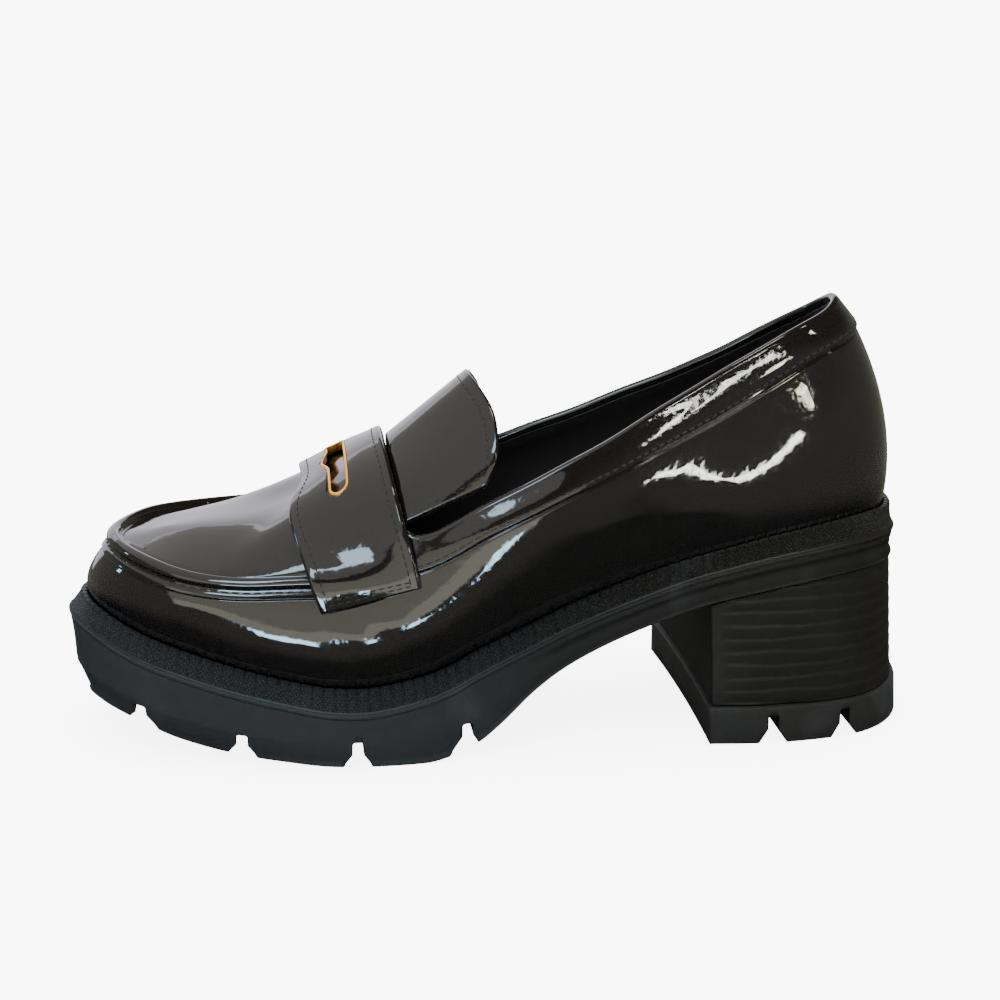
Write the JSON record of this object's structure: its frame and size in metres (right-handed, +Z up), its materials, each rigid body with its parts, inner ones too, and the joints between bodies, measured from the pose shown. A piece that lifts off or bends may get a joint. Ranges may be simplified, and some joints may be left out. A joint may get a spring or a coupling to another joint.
{
  "type": "loafer pump",
  "caption": "Slip-on loafer pump for a left foot: patent upper with apron seam, slotted saddle strap and raised tongue, on a lugged platform sole with a ribbed block heel.",
  "frame": {"origin": "on the floor, at the centre of the flat bottom of the heel's middle lug", "axes": "+Z up, the toe points to -X, -Y is the outer side of the foot"},
  "size_m": [0.2479, 0.0883, 0.1242],
  "materials": {
    "sole_rubber": "matte, moulded with a knurled welt band",
    "heel_rubber": "matte, moulded horizontal ribs",
    "lift_rubber": "matte",
    "patent": "mirror-gloss black patent",
    "strap_patent": "mirror-gloss black patent",
    "gold": "polished orange-gold rim",
    "tongue_patent": "mirror-gloss black patent",
    "sock": "smooth black lining"
  },
  "bodies": {
    "root": {"outsole": "sole_rubber", "heel_block": "heel_rubber", "top_lift": "lift_rubber", "upper": "patent", "saddle_strap": "strap_patent", "slot_frame": "gold", "tongue": "tongue_patent", "insole": "sock"}
  },
  "joints": []
}
